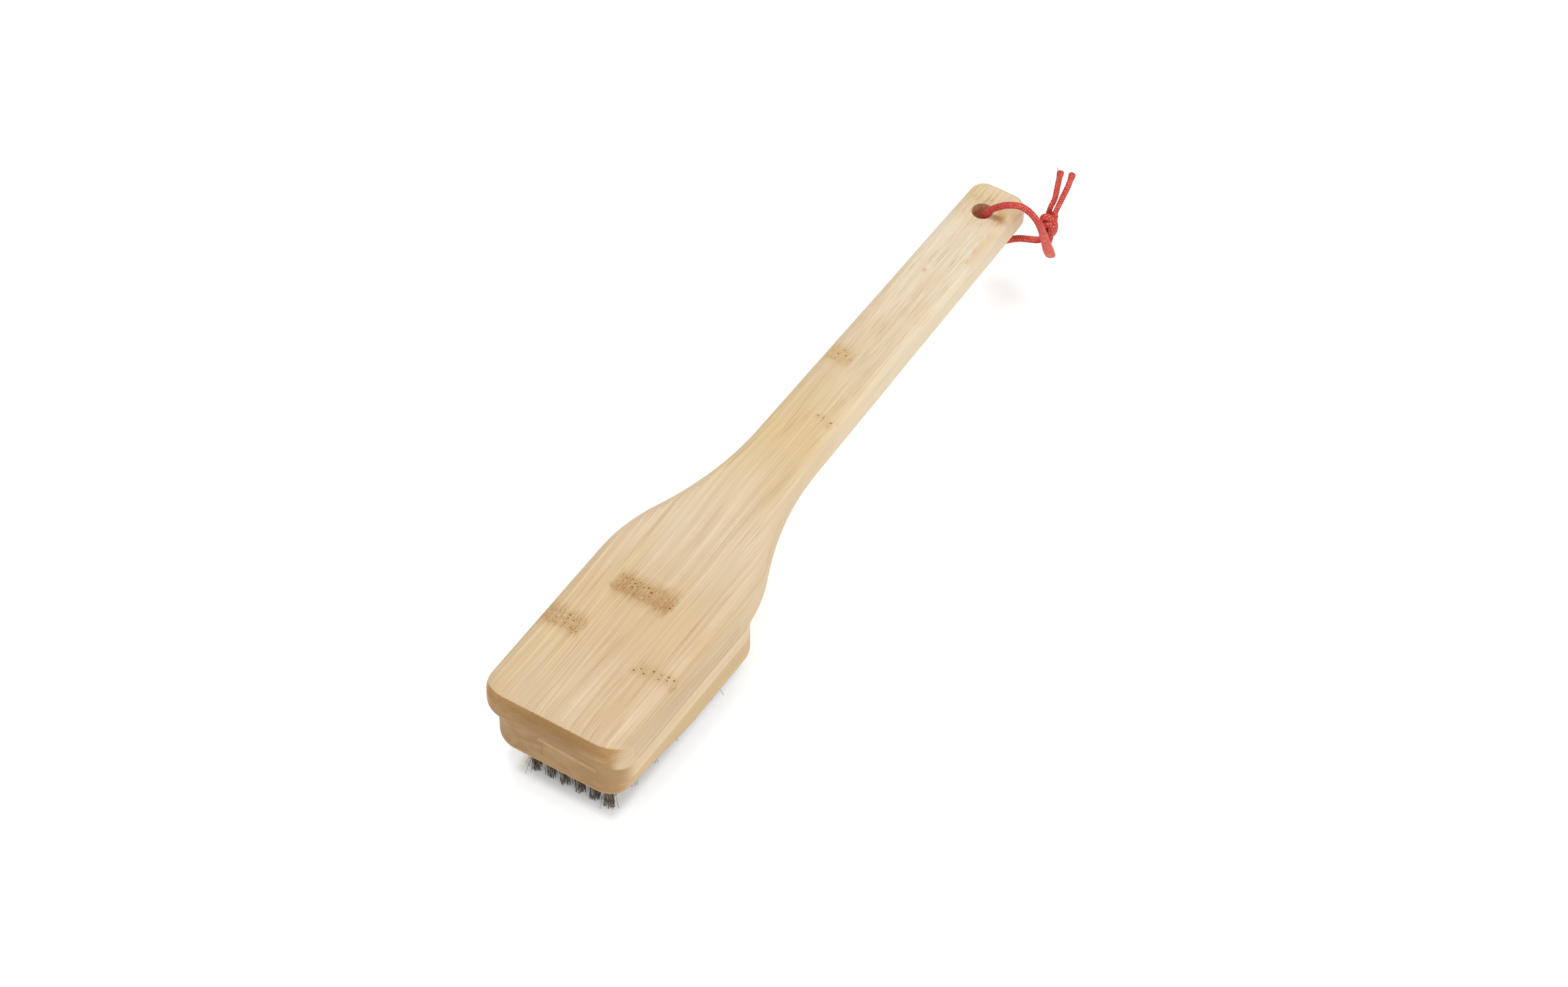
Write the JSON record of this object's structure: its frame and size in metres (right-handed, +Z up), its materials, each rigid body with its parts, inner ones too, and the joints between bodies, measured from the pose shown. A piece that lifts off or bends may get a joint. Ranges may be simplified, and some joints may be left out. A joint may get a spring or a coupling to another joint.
{
  "type": "grill brush",
  "caption": "Bamboo grill brush: a paddle board with a glued two-layer block of short steel wire tufts under its head and a knotted red hanging cord.",
  "frame": {"origin": "middle of the brush without its cord, on the plane of the bristle tips", "axes": "+Z up from the bristle tips to the board's top face, +Y from the head to the handle's end, +X across"},
  "size_m": [0.0582, 0.3107, 0.0553],
  "materials": {
    "board": "sanded bamboo, satin",
    "block": "sanded bamboo, end grain, satin",
    "wire": "dark drawn steel wire",
    "cord": "braided red cord"
  },
  "bodies": {
    "brush": {"handle_board": "board", "block_upper_layer": "block", "block_lower_layer": "block", "tuft_row_01": "wire", "tuft_row_02": "wire", "tuft_row_03": "wire", "tuft_row_04": "wire", "tuft_row_05": "wire", "tuft_row_06": "wire", "tuft_row_07": "wire", "tuft_row_08": "wire", "tuft_row_09": "wire", "tuft_row_10": "wire", "tuft_row_11": "wire", "tuft_row_12": "wire", "tuft_row_13": "wire"},
    "lanyard": {"lanyard_over_strand": "cord", "lanyard_under_strand": "cord", "lanyard_knot": "cord", "lanyard_tail_left": "cord", "lanyard_tail_right": "cord"}
  },
  "joints": [
    {"name": "lanyard_swing", "type": "hinge", "parent": "brush", "child": "lanyard", "pos_m": [0, 0.1341, 0.03685], "axis": [0, 0, 1], "range_deg": [-70, 185]}
  ]
}
